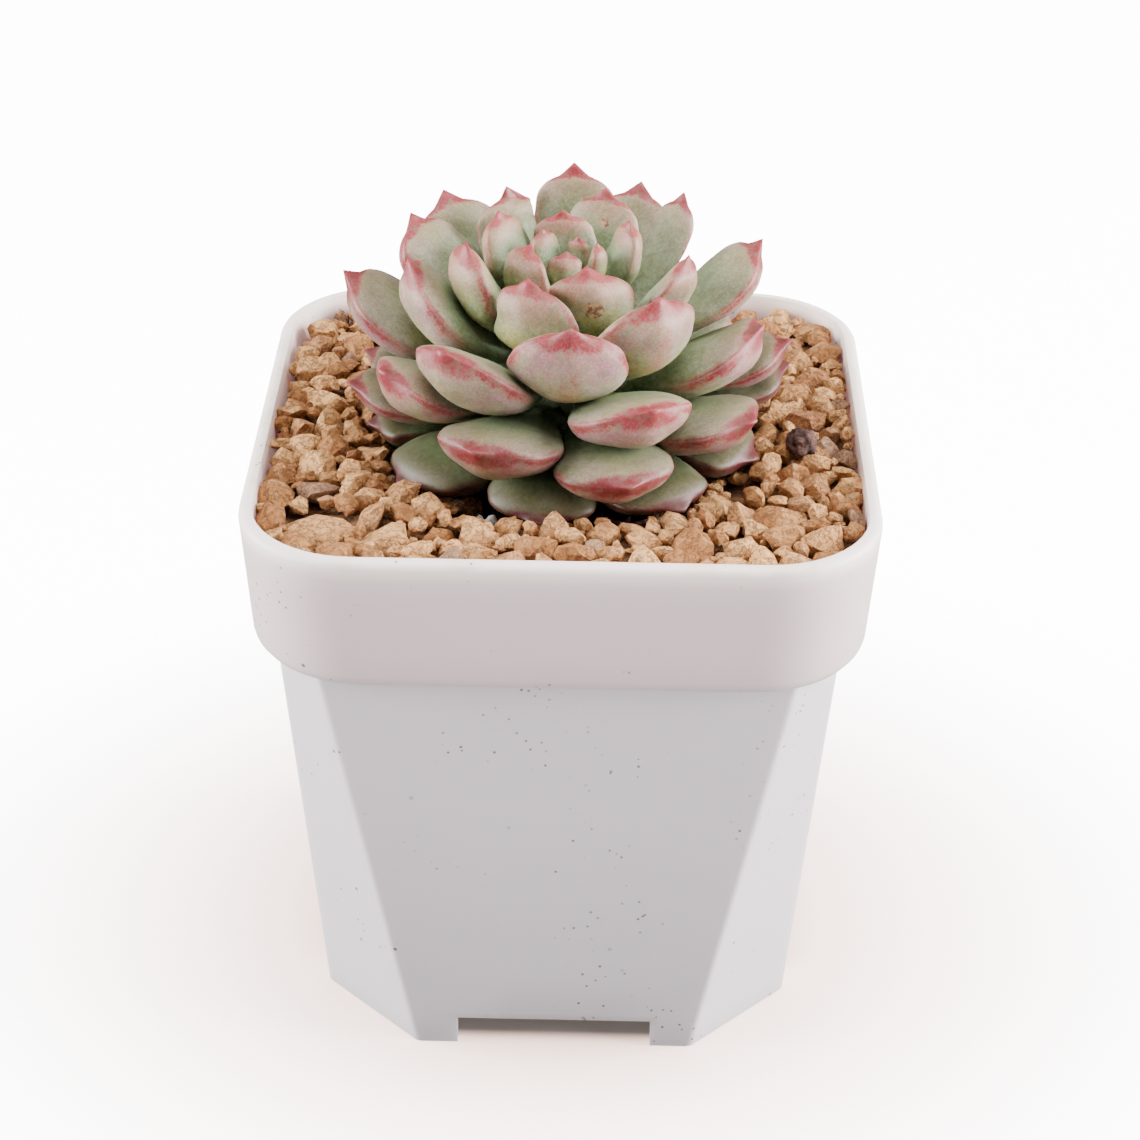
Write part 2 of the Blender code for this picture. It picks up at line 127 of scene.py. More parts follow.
class Value:
    """A shader socket that ordinary arithmetic works on."""

    def __init__(self, finish, socket):
        self.finish = finish
        self.socket = socket

    def maths(self, operation, *others):
        sockets = {k: other for k, other in enumerate((self, *others))}
        return self.finish.node("ShaderNodeMath", {"operation": operation}, sockets)

    def __add__(self, other):
        return self.maths("ADD", other)

    def __sub__(self, other):
        return self.maths("SUBTRACT", other)

    def __mul__(self, other):
        return self.maths("MULTIPLY", other)

    def __pow__(self, other):
        return self.maths("POWER", other)

    def __rsub__(self, other):
        return self.finish.node("ShaderNodeMath", {"operation": "SUBTRACT"}, {0: other, 1: self})

    __radd__ = __add__
    __rmul__ = __mul__

    def most(self, other):
        return self.maths("MAXIMUM", other)

    def least(self, other):
        return self.maths("MINIMUM", other)

    def size(self):
        return self.maths("ABSOLUTE")

    def ramp(self, low, high):
        """0 below low, 1 above high, eased between; works either way round."""
        return self.finish.node(
            "ShaderNodeMapRange", {"interpolation_type": "SMOOTHSTEP"},
            {"Value": self, "From Min": low, "From Max": high})


class Finish:
    """A material under construction."""

    def __init__(self, name, **constants):
        self.material = bpy.data.materials.new(name)
        self.material.use_nodes = True
        self.tree = self.material.node_tree
        self.shader = self.tree.nodes["Principled BSDF"]
        for key, value in constants.items():
            self.shader.inputs[key.replace("_", " ")].default_value = value

    def node(self, kind, settings=None, inputs=None, output=0):
        made = self.tree.nodes.new(kind)
        for key, value in (settings or {}).items():
            setattr(made, key, value)
        for key, value in (inputs or {}).items():
            if isinstance(value, Value):
                self.tree.links.new(value.socket, made.inputs[key])
            else:
                made.inputs[key].default_value = value
        return Value(self, made.outputs[output])

    def place(self, scale=(1, 1, 1), turn=(0, 0, 0)):
        spot = self.node("ShaderNodeTexCoord", output="Object")
        return self.node("ShaderNodeMapping", None,
                         {"Vector": spot, "Scale": scale, "Rotation": turn})

    def noise(self, scale, detail=2.0, rough=0.5, where=None):
        return self.node("ShaderNodeTexNoise", None,
                         {"Vector": where or self.place(), "Scale": scale,
                          "Detail": detail, "Roughness": rough})

    def cells(self, scale, where=None):
        return self.node("ShaderNodeTexVoronoi", None,
                         {"Vector": where or self.place(), "Scale": scale}, "Distance")

    def split(self, vector):
        made = self.tree.nodes.new("ShaderNodeSeparateXYZ")
        self.tree.links.new(vector.socket, made.inputs[0])
        return [Value(self, socket) for socket in made.outputs]

    def parts(self, name):
        return self.split(self.node("ShaderNodeAttribute", {"attribute_name": name}, None, "Vector"))

    def blend(self, first, second, factor, mode="MIX"):
        made = self.tree.nodes.new("ShaderNodeMix")
        made.data_type = "RGBA"
        made.blend_type = mode
        for key, value in ((0, factor), (6, first), (7, second)):
            if isinstance(value, Value):
                self.tree.links.new(value.socket, made.inputs[key])
            elif key == 0:
                made.inputs[key].default_value = value
            else:
                made.inputs[key].default_value = (*value, 1.0)[:4]
        return Value(self, made.outputs[2])

    def feed(self, name, value):
        self.tree.links.new(value.socket, self.shader.inputs[name])

    def bump(self, height, strength, distance):
        self.feed("Normal", self.node("ShaderNodeBump", None, {
            "Height": height, "Strength": strength, "Distance": distance}))


# ---------------------------------------------------------------- mesh helpers

def wrapped_grid(around, along, place, tag=None):
    """A sheet bent into a tube; place(i, j) gives a point, tag(i, j) a note on it."""
    bm = bmesh.new()
    bmesh.ops.create_grid(bm, x_segments=around, y_segments=along, size=1.0)
    layer = bm.verts.layers.float_vector.new("lay") if tag else None
    for vert in bm.verts:
        i = round((vert.co.x + 1) / 2 * around) % around
        j = round((vert.co.y + 1) / 2 * along)
        vert.co = place(i, j)
        if tag:
            vert[layer] = tag(i, j)
    bmesh.ops.remove_doubles(bm, verts=bm.verts[:], dist=2e-6)
    bmesh.ops.recalc_face_normals(bm, faces=bm.faces[:])
    return bm


def finished_piece(name, bm, material, smooth=True):
    mesh = bpy.data.meshes.new(name)
    bm.to_mesh(mesh)
    bm.free()
    mesh.materials.append(material)
    for face in mesh.polygons:
        face.use_smooth = smooth
    item = bpy.data.objects.new(name, mesh)
    bpy.context.scene.collection.objects.link(item)
    return item


def on_plant(item, slot, *replaced):
    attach(item, "root")
    if replaced:
        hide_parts(*replaced)
    return item


def grown_from(node):
    bm = bmesh.new()
    bm.from_mesh(NODES[node].data)
    bmesh.ops.remove_doubles(bm, verts=bm.verts[:], dist=1e-6)
    return bm


# ---------------------------------------------------------------- leaves

def leaf_rings(node):
    """The CAD leaf's rings of points from stem to tip, all started at one side."""
    bm = grown_from(node)
    axis = Vector((ROSETTE_X, 0))
    poles = sorted(bm.verts, key=lambda v: -len(v.link_edges))[:2]
    base = min(poles, key=lambda v: (v.co.xy - axis).length + v.co.z)
    count = (len(bm.verts) - 2) // (len(STATIONS) - 2)
    rings = [[base]]
    seen = {base}
    while len(seen) < len(bm.verts):
        ring = {edge.other_vert(vert) for vert in rings[-1] for edge in vert.link_edges} - seen
        ring = sorted(ring, key=lambda v: (v.co - base.co).length)
        if len(rings) == 1:
            ring = ring[:count]
        seen |= set(ring)
        rings.append(ring)
    rings = [np.array([vert.co[:] for vert in ring]) for ring in rings]
    bm.free()
    run = rings[-1][0] - rings[0][0]
    out = np.array((run[0], run[1], 0.0))
    out /= np.linalg.norm(out) + 1e-12
    across = np.array((-out[1], out[0], 0.0))
    up = np.cross(run / np.linalg.norm(run), across)
    lined = []
    for ring in rings:
        if len(ring) == 1:
            lined.append(np.repeat(ring, count, axis=0))
            continue
        spokes = ring - ring.mean(axis=0)
        angles = np.arctan2(spokes @ up, spokes @ across)
        order = np.argsort(angles)
        ring = ring[order]
        angles = angles[order]
        wanted = 2 * np.pi * np.arange(count) / count
        misses = [np.abs(np.exp(1j * np.roll(angles, -k)) - np.exp(1j * wanted)).sum()
                  for k in range(count)]
        lined.append(np.roll(ring, -int(np.argmin(misses)), axis=0))
    return np.array(lined)


def eased_rows(rings, rows):
    """Smooth curves through the rings along the leaf."""
    slopes = np.zeros_like(rings)
    gaps = np.diff(STATIONS)[:, None, None]
    steep = np.diff(rings, axis=0) / gaps
    slopes[1:-1] = (steep[:-1] * gaps[1:] + steep[1:] * gaps[:-1]) / (gaps[1:] + gaps[:-1])
    slopes[0] = steep[0]
    slopes[-1] = steep[-1]
    result = []
    for value in rows:
        k = min(int(np.searchsorted(STATIONS, value, side="right")) - 1, len(STATIONS) - 2)
        gap = STATIONS[k + 1] - STATIONS[k]
        t = (value - STATIONS[k]) / gap
        result.append((2 * t ** 3 - 3 * t ** 2 + 1) * rings[k]
                      + (t ** 3 - 2 * t ** 2 + t) * gap * slopes[k]
                      + (3 * t ** 2 - 2 * t ** 3) * rings[k + 1]
                      + (t ** 3 - t ** 2) * gap * slopes[k + 1])
    return np.array(result)


def eased_columns(rows, columns):
    """Smooth closed curves round every row."""
    count = rows.shape[1]
    result = []
    for index in range(columns):
        place = index * count / columns
        k = int(place)
        t = place - k
        a, b, c, d = (rows[:, (k + step) % count] for step in (-1, 0, 1, 2))
        result.append(0.5 * (2 * b + (c - a) * t + (2 * a - 5 * b + 4 * c - d) * t * t
                             + (3 * b - a - 3 * c + d) * t ** 3))
    return np.stack(result, axis=1)


def fine_leaf(node, settings, inner):
    """A plump leaf with a keel, thin margins and a drawn-out point."""
    rings = leaf_rings(node)
    share = np.linspace(0, 1, LEAF_ROWS + 1)
    rows = share + 0.09 * np.sin(np.pi * share) * share
    points = eased_columns(eased_rows(rings, rows), LEAF_COLUMNS)
    angles = 2 * np.pi * np.arange(LEAF_COLUMNS) / LEAF_COLUMNS
    middles = points.mean(axis=1, keepdims=True)
    spokes = points - middles
    radius = np.linalg.norm(spokes, axis=2, keepdims=True)
    width = radius.max()
    outer = np.clip((rows - 0.45) / 0.4, 0, 1)[:, None, None]
    keel = np.exp(-((np.cos(angles) / 0.26) ** 2)) * (np.sin(angles) < 0)
    edge = np.exp(-((np.sin(angles) / 0.35) ** 2))
    hollow = np.exp(-(((np.abs(np.cos(angles)) - 0.6) / 0.25) ** 2)) * (np.sin(angles) < 0)
    swell = 1 + outer * (0.11 * keel + 0.05 * edge - 0.05 * hollow)[None, :, None]
    point = np.clip((rows - 0.93) / 0.07, 0, 1)[:, None, None]
    pinch = 1 - 0.22 * np.sin(np.pi * point ** 0.7)
    taper = np.clip((rows - 0.60) / 0.40, 0, 1)[:, None, None]
    pinch *= 1 - (0.10 + 0.04 * inner) * np.sin(np.pi * taper)
    points = middles + spokes * swell * pinch
    reach = rings[-1][0] - rings[-3].mean(axis=0)
    reach /= np.linalg.norm(reach) + 1e-12
    points += reach * (point ** 3) * settings.point_length * min(1.0, width / 0.006)

    def tag(i, j):
        return (math.cos(angles[i]), math.sin(angles[i]), rows[j])
    return wrapped_grid(LEAF_COLUMNS, LEAF_ROWS, lambda i, j: Vector(points[j, i]), tag)


def leaf_finish(name, settings, inner, age_and_shade, tint, lines, scar=None):
    """Powdery skin: grey-green, lilac blush, red point, margins and keel stripe."""
    keel_line, edge_line = lines
    skin = Finish(name, Subsurface_Weight=0.12, Subsurface_Scale=0.001,
                  Specular_IOR_Level=0.45)
    skin.shader.inputs["Subsurface Radius"].default_value = (1.0, 0.6, 0.35)
    side, rise, along = skin.parts("lay")
    where = skin.place(turn=(tint * 6, inner * 3, tint * 9))
    broad = skin.noise(140, 3.0, 0.55, where)
    other = skin.noise(330, 4.0, 0.6, where)
    fine = skin.noise(1100, 4.0, 0.65, where)
    grain = skin.noise(3300, 3.0, 0.7, where)
    lengthwise = skin.node("ShaderNodeCombineXYZ", None, {0: side * 6, 1: rise * 6, 2: along * 5})
    streaks = skin.noise(1.9, 6.0, 0.7, lengthwise)
    under = (0 - rise).ramp(-0.15, 0.35)
    off_middle = side.size()
    outward = along.ramp(0.25, 0.75)

    deep = broad.ramp(0.40, 0.60) * (0.75 - 0.25 * tint) + 0.25 * inner
    green = skin.blend(settings.skin, settings.shade, deep)
    lilac = (off_middle.ramp(0.10, 0.75) * 0.35 + under * 0.65) * outward
    lilac = lilac * (broad * 0.6 + streaks * 0.4).ramp(0.66, 0.40) * (1.25 - 0.9 * inner)
    colour = skin.blend(green, settings.blush, lilac * (0.6 + 0.4 * tint))
    ripe = under * along.ramp(0.90, 0.60) * along.ramp(0.10, 0.36) * off_middle.ramp(0.98, 0.6)
    ripe = ripe * (other * 0.6 + broad * 0.4).ramp(0.40, 0.56) * (1.0 - 0.35 * tint)
    colour = skin.blend(colour, settings.ripe, ripe * 0.9)

    wander = (other - 0.5) * 0.5 + (fine - 0.5) * 0.6
    reach = (along + wander * 0.35).ramp(0.34, 0.66)
    stripe = (side + wander * 0.5).size() * (1.5 - along * 0.7)
    stripe = stripe.ramp(0.30, 0.08) * (0 - rise).ramp(0.2, 0.5) * reach * keel_line
    drift = (rise + wander * 0.5) * (1.7 - along * 0.8)
    upper = drift.ramp(0.42 - 0.12 * inner, 0.0)
    lower = (drift + wander * 0.3).ramp(-0.50, -0.14)
    patchy = streaks.ramp(0.38, 0.56) * 0.35 + 0.65
    margin = upper * lower * (along + wander * 0.3).ramp(0.38, 0.78) * patchy * edge_line
    top = (along + wander * 0.05 + off_middle * 0.03).ramp(0.905, 0.975)
    halo = (along + wander * 0.15).ramp(0.66, 0.99) * (0.30 + 0.28 * inner)
    halo = halo.most(off_middle.ramp(0.70, 1.0) * along.ramp(0.50, 0.90) * (0.17 + 0.24 * inner))
    red = stripe.most(margin).most(top).most(halo)
    faint = (red.ramp(0.80, 0.25) * 0.75 + 0.25 * inner).least(1.0)
    warm = skin.blend(settings.red, settings.coral, faint)
    colour = skin.blend(colour, warm, (red * 1.35).least(0.97))
    colour = skin.blend(colour, settings.point, along.ramp(0.965, 0.99) * 0.75)

    fringe = (stripe.most(margin) * (1.1 - red)).ramp(0.02, 0.25) + ripe * 0.6
    rusty = skin.cells(1500, where).ramp(0.40, 0.15) * fine.ramp(0.42, 0.54)
    colour = skin.blend(colour, settings.speckle, rusty * fringe.least(1.0) * 0.85)
    powder = grain.ramp(0.44, 0.62) * 0.24 + streaks.ramp(0.44, 0.70) * 0.12
    powder = (powder + other.ramp(0.45, 0.7) * 0.14) * (1.0 - red * 0.8)
    colour = skin.blend(colour, settings.bloom, powder)
    worn = fine.ramp(0.52, 0.36) * (0.5 - 0.15 * red)
    colour = skin.blend(colour, settings.worn, worn)
    edge = (rise - 0.02).size().ramp(0.07, 0.01) * along.ramp(0.2, 0.5) * along.ramp(0.96, 0.85)
    colour = skin.blend(colour, settings.bloom, edge * 0.14)
    pit = skin.cells(520, where).ramp(0.060, 0.025) * skin.noise(300, 1.0, 0.5, where).ramp(0.54, 0.60)
    colour = skin.blend(colour, (0.10, 0.05, 0.03), pit * 0.85)
    height = fine * 0.5 + grain * 0.25 - pit
    if scar:
        spot, turn, size = scar
        angle = turn * 2 * math.pi
        off_side = side - math.cos(angle)
        off_rise = rise - math.sin(angle)
        off_along = along - spot
        away = (off_side * off_side * 0.12 + off_rise * off_rise * 0.12
                + off_along * off_along * 1.6) ** 0.5
        away = away + wander * 0.07
        hurt = away.ramp(size, size * 0.8)
        colour = skin.blend(colour, (0.46, 0.27, 0.14), hurt * 0.85)
        colour = skin.blend(colour, (0.12, 0.04, 0.03), hurt * fine.ramp(0.54, 0.44) * 0.85)
        height = height - hurt * 1.5 + hurt * grain
    # Lower, older leaves are multiplied darker and greener: partly their own duller colour, partly
    # painted shade where they sit low in the rosette.
    colour = skin.blend(colour, settings.old_and_shaded, age_and_shade, "MULTIPLY")
    skin.feed("Base Color", colour)
    skin.feed("Roughness", 0.44 + 0.40 * powder + 0.10 * fine)
    skin.bump(height, 0.25, 0.0002)
    return skin.material


class SkinSettings(PropertyGroup):
    """Leaf colours and point."""
    skin: FloatVectorProperty(name="Skin", description="Main leaf colour", subtype="COLOR",
                              size=3, default=(0.21, 0.285, 0.125), min=0, max=1)
    shade: FloatVectorProperty(name="Shade", description="Deeper green patches", subtype="COLOR",
                               size=3, default=(0.115, 0.205, 0.070), min=0, max=1)
    blush: FloatVectorProperty(name="Blush", description="Lilac cast", subtype="COLOR",
                               size=3, default=(0.30, 0.155, 0.175), min=0, max=1)
    ripe: FloatVectorProperty(name="Ripe", description="Yellow-green by the stripe",
                              subtype="COLOR", size=3, default=(0.34, 0.29, 0.055), min=0, max=1)
    red: FloatVectorProperty(name="Red", description="Margin and stripe", subtype="COLOR",
                             size=3, default=(0.215, 0.004, 0.013), min=0, max=1)
    coral: FloatVectorProperty(name="Coral", description="Lighter red", subtype="COLOR",
                               size=3, default=(0.40, 0.060, 0.048), min=0, max=1)
    point: FloatVectorProperty(name="Point", description="Leaf point", subtype="COLOR",
                               size=3, default=(0.26, 0.01, 0.025), min=0, max=1)
    speckle: FloatVectorProperty(name="Speckle", description="Rusty dots", subtype="COLOR",
                                 size=3, default=(0.27, 0.08, 0.025), min=0, max=1)
    # Colour multiplied into the lowest leaves: partly their duller real colour, partly painted shade.
    old_and_shaded: FloatVectorProperty(name="Old", description="What the oldest leaves are dulled by",
                             subtype="COLOR", size=3, default=(0.26, 0.28, 0.19), min=0, max=1)
    worn: FloatVectorProperty(name="Worn", description="Skin where powder is rubbed off",
                              subtype="COLOR", size=3, default=(0.16, 0.15, 0.085), min=0, max=1)
    bloom: FloatVectorProperty(name="Bloom", description="Pale powder", subtype="COLOR",
                               size=3, default=(0.54, 0.49, 0.47), min=0, max=1)
    point_length: FloatProperty(name="Point length", description="How far the point is drawn out",
                                default=0.0006, min=0, max=0.003, unit="LENGTH")


class SUCCULENT_OT_leaves(Operator):
    """Grow the fine leaves over their plain ones"""
    bl_idname = "succulent.leaves"
    bl_label = "Leaves"

    def execute(self, context):
        settings = context.scene.succulent_skin
        rng = random.Random(8)
        for order, node in enumerate(LEAF_NAMES):
            share = order / (len(LEAF_NAMES) - 1)
            inner = max(0.0, min(1.0, (share - 0.66) / 0.22))
            # How far each low leaf is darkened: partly age, partly painted shade.
            age_and_shade = max(0.0, min(1.0, 1.25 - share / 0.42))
            young = share > 0.7
            tint = rng.uniform(0.1, 0.45) if share < 0.16 or young else rng.uniform(0.5, 1.0)
            lines = (rng.uniform(0.0, 0.4) * (1 - inner), rng.uniform(0.75, 1.0) - 0.25 * inner)
            finish = leaf_finish(node + "_skin", settings, inner, age_and_shade, tint, lines, SCARS.get(node))
            leaf = finished_piece(node + "_blade", fine_leaf(node, settings, inner), finish)
            on_plant(leaf, "leaf_skin", node)
        return {"FINISHED"}


# ---------------------------------------------------------------- pot

def corner_point(half, size, flatness, step):
    """A point on the corner at +X +Y: an arc, or a flat between two small rounds."""
    turn = step / CORNER_STEPS * math.pi / 2
    middle = half - size
    arc = Vector((middle + size * math.cos(turn), middle + size * math.sin(turn)))
    first = step <= CORNER_STEPS / 2
    place = step if first else CORNER_STEPS - step
    sweep = min(place / (CORNER_STEPS * 0.35), 1.0) * math.pi / 4
    run = CHAMFER_ROUND * math.tan(math.pi / 8)
    flat = Vector((half - CHAMFER_ROUND * (1 - math.cos(sweep)),
                   middle - run + CHAMFER_ROUND * math.sin(sweep)))
    past = max(place / (CORNER_STEPS * 0.5) - 0.7, 0.0) / 0.3
    flat += (Vector((half - size / 2, half - size / 2)) - flat) * past
    return arc.lerp(flat if first else flat.yx, flatness)


def outline(half, size, flatness):
    """The rounded square anticlockwise; True marks the points over a skirt slot."""
    side = [(corner_point(half, size, flatness, step), False) for step in range(CORNER_STEPS + 1)]
    slot = min(SLOT_HALF, (half - size) * 0.9)
    side += [(Vector((slot, half)), False)]
    side += [(Vector((slot * share, half)), True) for share in (1.0, 0.4, -0.4, -1.0)]
    side += [(Vector((-slot, half)), False)]
    return [(Matrix.Rotation(quarter * math.pi / 2, 2) @ point, slotted)
            for quarter in range(4) for point, slotted in side]


def body_section(height):
    """Half width, corner size and flatness of the body's outside."""
    share = height / COLLAR_Z
    half = FOOT_HALF + (BODY_HALF - FOOT_HALF) * share
    return half, FOOT_CHAMFER + (TOP_CHAMFER - FOOT_CHAMFER) * share, 1.0


def collar_section(height, inset=0.0):
    """The same for the collar, drawn in by the inset."""
    rise = (height - COLLAR_Z) / (RIM_Z - COLLAR_Z)
    return COLLAR_HALF + (HALF - COLLAR_HALF) * rise - inset, COLLAR_CORNER - inset, 0.0


def thinned(section, wall):
    """A section moved in by the wall; its flats keep the wall's thickness."""
    half, size, flatness = section
    return half - wall, max(size - wall * (1 - 0.41 * flatness), 0.001), flatness


def pot_sections():
    """Height, half width, corner size and flatness, up the outside and down the inside."""
    outside = [(z, *body_section(z)) for z in (0.0, SLOT_HEIGHT, 0.010, 0.020, 0.030, 0.040, 0.050)]
    outside.append((COLLAR_Z, *body_section(COLLAR_Z)))
    outside.append((COLLAR_Z, *collar_section(COLLAR_Z, COLLAR_ROUND)))
    for turn in (22.5, 45.0, 67.5, 90.0):
        angle = math.radians(turn)
        height = COLLAR_Z + COLLAR_ROUND * (1 - math.cos(angle))
        outside.append((height, *collar_section(height, COLLAR_ROUND * (1 - math.sin(angle)))))
    for share in (0.3, 0.5, 0.7, 0.85):
        height = COLLAR_Z + share * (RIM_Z - COLLAR_Z)
        outside.append((height, *collar_section(height)))
    lip = []
    for turn in (0.0, 22.5, 45.0, 67.5, 90.0):
        angle = math.radians(turn)
        height = RIM_Z - LIP_ROUND * (1 - math.sin(angle))
        lip.append((height, *collar_section(height, LIP_ROUND * (1 - math.cos(angle)))))
    lip.append((RIM_Z, *collar_section(RIM_Z, WALL)))
    ledge = COLLAR_Z + WALL
    inside = [(0.060, *collar_section(0.060, WALL)), (ledge, *collar_section(ledge, WALL))]
    for z in (ledge, 0.040, 0.020, SLOT_HEIGHT, 0.0):
        inside.append((z, *thinned(body_section(min(z, COLLAR_Z)), WALL)))
    return outside + lip + inside


def plastic_finish(settings):
    """Satin white plastic with a warm painted highlight along the rim, dust, small specks and scuffs.
    """
    skin = Finish("white_plastic_finish", Subsurface_Weight=0.25, Subsurface_Scale=0.002,
                  Specular_IOR_Level=0.45)
    skin.shader.inputs["Subsurface Radius"].default_value = (1.0, 0.75, 0.7)
    spot = skin.node("ShaderNodeTexCoord", output="Object")
    across, back, height = skin.split(spot)
    cloud = skin.noise(38, 3.0)
    patch = skin.noise(120, 4.0, 0.6)
    colour = skin.blend(settings.body, settings.collar, height.ramp(COLLAR_Z - 0.001, COLLAR_Z + 0.002))
    # The top of the rim is painted paler and warmer: a painted highlight for light falling on and
    # through the thin rim.
    rim = height.ramp(RIM_Z - 0.0026, RIM_Z - 0.0006)
    colour = skin.blend(colour, settings.warm, height.ramp(RIM_Z - 0.006, RIM_Z) * 0.35 + rim * 0.65)
    colour = skin.blend(colour, settings.dirt, cloud.ramp(0.60, 0.78) * patch.ramp(0.5, 0.8) * 0.12)
    tide = (height - SLOT_HEIGHT).size().ramp(0.0010, 0.0002) * patch.ramp(0.30, 0.5)
    tide = tide * across.size().least(back.size()).ramp(SLOT_HALF + 0.0015, SLOT_HALF)
    colour = skin.blend(colour, settings.dirt, tide * 0.35)
    lip = (height - RIM_Z + 0.0003).size().ramp(0.0009, 0.0) * patch.ramp(0.52, 0.66)
    colour = skin.blend(colour, settings.dirt, lip * 0.30)
    dots = skin.cells(330).ramp(0.095, 0.065) * skin.noise(55, 2.0).ramp(0.52, 0.62)
    small = skin.cells(800).ramp(0.17, 0.10) * skin.noise(90, 2.0).ramp(0.54, 0.62)
    colour = skin.blend(colour, settings.grit, dots.most(small) * 0.85)
    scrape = skin.noise(1.0, 3.0, 0.6, skin.place((160, 900, 900), (0.2, 0.5, 0.7)))
    scratch = scrape.ramp(0.70, 0.735) * skin.noise(50, 1.0).ramp(0.56, 0.70)
    colour = skin.blend(colour, settings.grit, scratch * 0.22)
    skin.feed("Base Color", colour)
    skin.feed("Roughness", 0.36 + 0.14 * patch + 0.2 * scratch)
    skin.bump(skin.noise(1400, 3.0) * 0.4 + patch * 0.6 - scratch, 0.12, 0.0002)
    return skin.material


class PotSettings(PropertyGroup):
    """Pot plastic."""
    body: FloatVectorProperty(name="Body", description="Plastic of the body", subtype="COLOR",
                              size=3, default=(0.77, 0.695, 0.725), min=0, max=1)
    collar: FloatVectorProperty(name="Collar", description="Plastic of the collar",
                                subtype="COLOR", size=3, default=(0.74, 0.575, 0.59), min=0, max=1)
    # A painted highlight: the rim is painted towards this pale warm colour.
    warm: FloatVectorProperty(name="Warm rim", description="Light through the thin rim",
                              subtype="COLOR", size=3, default=(1.0, 0.86, 0.80), min=0, max=1)
    dirt: FloatVectorProperty(name="Dust", description="Dried dust", subtype="COLOR",
                              size=3, default=(0.52, 0.42, 0.33), min=0, max=1)
    grit: FloatVectorProperty(name="Specks", description="Dark specks", subtype="COLOR",
                              size=3, default=(0.10, 0.09, 0.09), min=0, max=1)


class SUCCULENT_OT_pot(Operator):
    """Mould the pot's shell and raised floor"""
    bl_idname = "succulent.pot"
    bl_label = "Pot"

    def execute(self, context):
        finish = plastic_finish(context.scene.succulent_pot)
        sections = pot_sections()
        loops = [[Vector((p.x, p.y, max(z, SLOT_HEIGHT) if slotted else z))
                  for p, slotted in outline(half, size, flatness)]
                 for z, half, size, flatness in sections]
        loops.append(loops[0])
        bm = wrapped_grid(len(loops[0]), len(loops) - 1, lambda i, j: loops[j][i])
        shell = finished_piece("pot_shell", bm, finish)
        edge = shell.modifiers.new("Soft edges", "BEVEL")
        edge.width = 0.0005
        edge.segments = 3
        edge.limit_method = "ANGLE"
        edge.angle_limit = math.radians(50)
        on_plant(shell, "white_plastic", "pot")
        half, size, flatness = body_section(FLOOR_RISE)
        rim = [p for p, slotted in outline(half - WALL * 0.6, size, flatness) if not slotted]
        bm = bmesh.new()
        made = bmesh.ops.create_circle(bm, cap_ends=True, radius=1.0, segments=len(rim))["verts"]
        for vert, spot in zip(made, rim):
            vert.co = (spot.x, spot.y, FLOOR_RISE)
        plate = bmesh.ops.extrude_face_region(bm, geom=bm.faces[:])
        tops = [item for item in plate["geom"] if isinstance(item, bmesh.types.BMVert)]
        bmesh.ops.translate(bm, vec=(0, 0, WALL), verts=tops)
        bmesh.ops.recalc_face_normals(bm, faces=bm.faces[:])
        floor = finished_piece("pot_floor", bm, finish, smooth=False)
        self.drain(floor)
        on_plant(floor, "white_plastic", "pot")
        return {"FINISHED"}

    def drain(self, floor):
        """Four round holes through the raised floor."""
        bm = bmesh.new()
        for turn in range(4):
            angle = math.radians(45 + 90 * turn)
            spot = Vector((DRAIN_REACH * math.cos(angle), DRAIN_REACH * math.sin(angle), FLOOR_RISE))
            bmesh.ops.create_cone(bm, cap_ends=True, segments=32, radius1=DRAIN_RADIUS,
                                  radius2=DRAIN_RADIUS, depth=0.01,
                                  matrix=Matrix.Translation(spot))
        tool = finished_piece("drain_tool", bm, floor.data.materials[0])
        hole = floor.modifiers.new("Holes", "BOOLEAN")
        hole.object = tool
        hole.solver = "EXACT"
        bpy.context.view_layer.objects.active = floor
        bpy.ops.object.modifier_apply(modifier=hole.name)
        bpy.data.objects.remove(tool, do_unlink=True)


# ---------------------------------------------------------------- soil and grit

def soil_finish(name, low=(0.020, 0.013, 0.009), high=(0.075, 0.048, 0.030)):
    """Dark crumbly mix."""
    skin = Finish(name, Roughness=0.95, Specular_IOR_Level=0.25)
    lumps = skin.noise(420, 5.0, 0.7)
    flecks = skin.cells(900)
    colour = skin.blend(low, high, lumps.ramp(0.35, 0.7))
    colour = skin.blend(colour, (0.16, 0.10, 0.06), flecks.ramp(0.14, 0.05) * 0.5)
    skin.feed("Base Color", colour)
    skin.bump(lumps + flecks * 0.5, 0.9, 0.0008)
    return skin.material


def grit_finish(settings):
    """Dry baked clay: ochre grains, each its own tone, with pores and dust."""
    skin = Finish("baked_clay", Specular_IOR_Level=0.22)
    tone, dark, red = skin.parts("grain_tone")
    patch = skin.noise(520, 4.0, 0.6)
    pores = skin.noise(2600, 3.0, 0.7)
    colour = skin.blend(settings.low, settings.high, (tone + (patch - 0.5) * 0.9).ramp(0.0, 1.0))
    colour = skin.blend(colour, settings.rust, red * 0.55)
    colour = skin.blend(colour, settings.grey, dark * 0.8)
    colour = skin.blend(colour, settings.dusty, patch.ramp(0.55, 0.75) * 0.30)
    cracks = (skin.noise(900, 5.0, 0.65) - 0.5).size().ramp(0.030, 0.004)
    colour = skin.blend(colour, settings.rust, cracks * 0.6)
    colour = skin.blend(colour, (0.16, 0.07, 0.025), pores.ramp(0.44, 0.30) * 0.6)
    skin.feed("Base Color", colour)
    skin.feed("Roughness", 0.84 + 0.12 * pores)
    skin.bump(patch * 0.9 + pores * 0.7 - cracks * 0.5, 0.9, 0.0005)
    return skin.material


